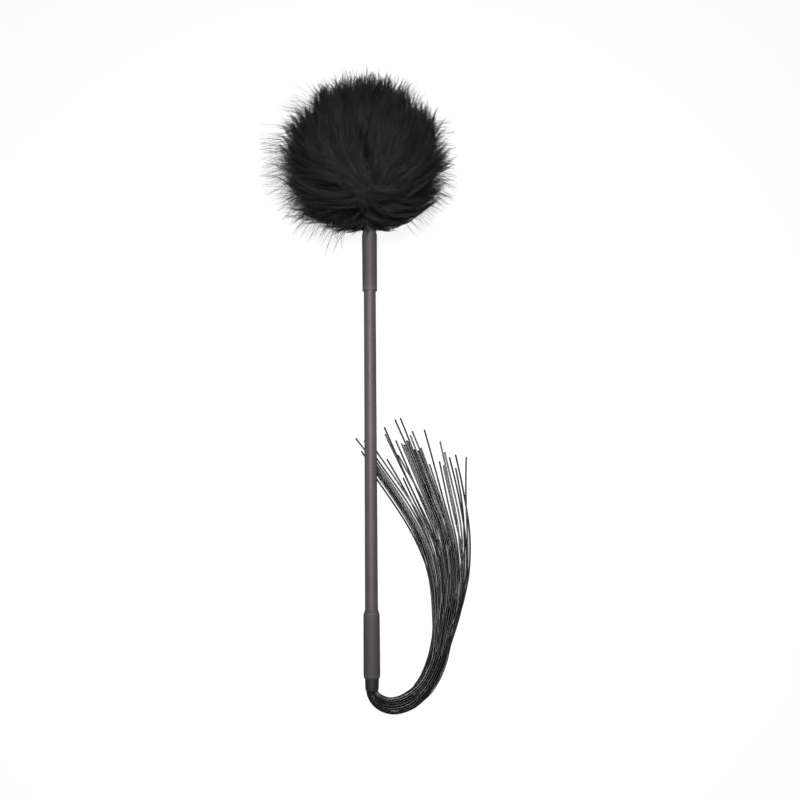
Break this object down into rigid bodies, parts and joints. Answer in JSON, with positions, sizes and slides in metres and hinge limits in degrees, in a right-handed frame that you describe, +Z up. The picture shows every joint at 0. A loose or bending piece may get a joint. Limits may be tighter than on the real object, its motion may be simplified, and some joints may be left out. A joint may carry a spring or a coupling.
{
  "type": "feather duster",
  "caption": "Slim wand with a round black feather pom at one end and a flexible tail of thin black rubber strands at the other, lying down.",
  "frame": {"origin": "on the surface the wand lies on, under the middle of its length, at the centre of its footprint", "axes": "+Y along the wand towards the feather pom, +X to the side the strand tail curls to, +Z up from the surface"},
  "size_m": [0.1436, 0.469, 0.0924],
  "materials": {
    "soft_touch_grey": "matte soft-touch coating, faintly mottled",
    "ferrule_grey": "matte soft-touch coating",
    "neck_cap_grey": "satin",
    "core_steel": "brushed",
    "potting_black": "cured adhesive",
    "dowel_wood": "plain turned dowel",
    "thread_black": "twisted thread",
    "quill_black": "dyed quill",
    "collar_black": "matte shrink sleeve",
    "feather_black": "soft dyed down, fine barbs",
    "strand_rubber": "satin rubber cord"
  },
  "bodies": {
    "wand": {"rod_sleeve": "soft_touch_grey", "upper_ferrule": "ferrule_grey", "lower_ferrule": "ferrule_grey", "core_rod": "core_steel", "strand_collar": "collar_black", "strand_root_plug": "potting_black", "plume_plug": "dowel_wood", "plume_stem": "dowel_wood", "neck_cap": "neck_cap_grey", "quill_bundle": "quill_black", "binding_thread": "thread_black", "feather_plume_1": "feather_black", "feather_plume_2": "feather_black", "feather_plume_3": "feather_black", "feather_plume_4": "feather_black", "feather_plume_5": "feather_black", "feather_plume_6": "feather_black", "feather_plume_7": "feather_black"},
    "tail_root": {"strand_bundle_1": "strand_rubber"},
    "tail_bend_a": {"strand_bundle_2": "strand_rubber"},
    "tail_bend_b": {"strand_bundle_3": "strand_rubber"},
    "tail_bend_c": {"strand_bundle_4": "strand_rubber"},
    "tail_fan": {"strand_bundle_5": "strand_rubber", "strand_01": "strand_rubber", "strand_02": "strand_rubber", "strand_03": "strand_rubber", "strand_04": "strand_rubber", "strand_05": "strand_rubber", "strand_06": "strand_rubber", "strand_07": "strand_rubber", "strand_08": "strand_rubber", "strand_09": "strand_rubber", "strand_10": "strand_rubber", "strand_11": "strand_rubber", "strand_12": "strand_rubber", "strand_13": "strand_rubber", "strand_14": "strand_rubber", "strand_15": "strand_rubber", "strand_16": "strand_rubber", "strand_17": "strand_rubber", "strand_18": "strand_rubber", "strand_19": "strand_rubber", "strand_20": "strand_rubber", "strand_21": "strand_rubber", "strand_22": "strand_rubber", "strand_23": "strand_rubber", "strand_24": "strand_rubber", "strand_25": "strand_rubber", "strand_26": "strand_rubber", "strand_27": "strand_rubber", "strand_28": "strand_rubber", "strand_29": "strand_rubber", "strand_30": "strand_rubber", "strand_31": "strand_rubber", "strand_32": "strand_rubber", "strand_33": "strand_rubber", "strand_34": "strand_rubber", "strand_35": "strand_rubber", "strand_36": "strand_rubber"}
  },
  "joints": [
    {"name": "tail_lift", "type": "hinge", "parent": "wand", "child": "tail_root", "pos_m": [0, -0.218, 0.0053], "axis": [1, 0, 0], "range_deg": [-50, 3]},
    {"name": "tail_curl", "type": "hinge", "parent": "tail_root", "child": "tail_bend_a", "pos_m": [0.00382, -0.22486, 0.00473], "axis": [0, 0.001, 1], "range_deg": [-38, 5]},
    {"name": "tail_curl_b", "type": "hinge", "parent": "tail_bend_a", "child": "tail_bend_b", "pos_m": [0.01251, -0.22879, 0.00441], "axis": [0, 0.001, 1], "range_deg": [-38, 5]},
    {"name": "tail_curl_c", "type": "hinge", "parent": "tail_bend_b", "child": "tail_bend_c", "pos_m": [0.02585, -0.22582, 0.00402], "axis": [0, 0.001, 1], "range_deg": [-38, 5]},
    {"name": "tail_curl_d", "type": "hinge", "parent": "tail_bend_c", "child": "tail_fan", "pos_m": [0.0389, -0.21432, 0.00337], "axis": [0, 0.001, 1], "range_deg": [-38, 5]}
  ],
  "couplings": [
    {"joint": "tail_curl_b", "follows": "tail_curl", "ratio": 1},
    {"joint": "tail_curl_c", "follows": "tail_curl", "ratio": 1},
    {"joint": "tail_curl_d", "follows": "tail_curl", "ratio": 1}
  ]
}
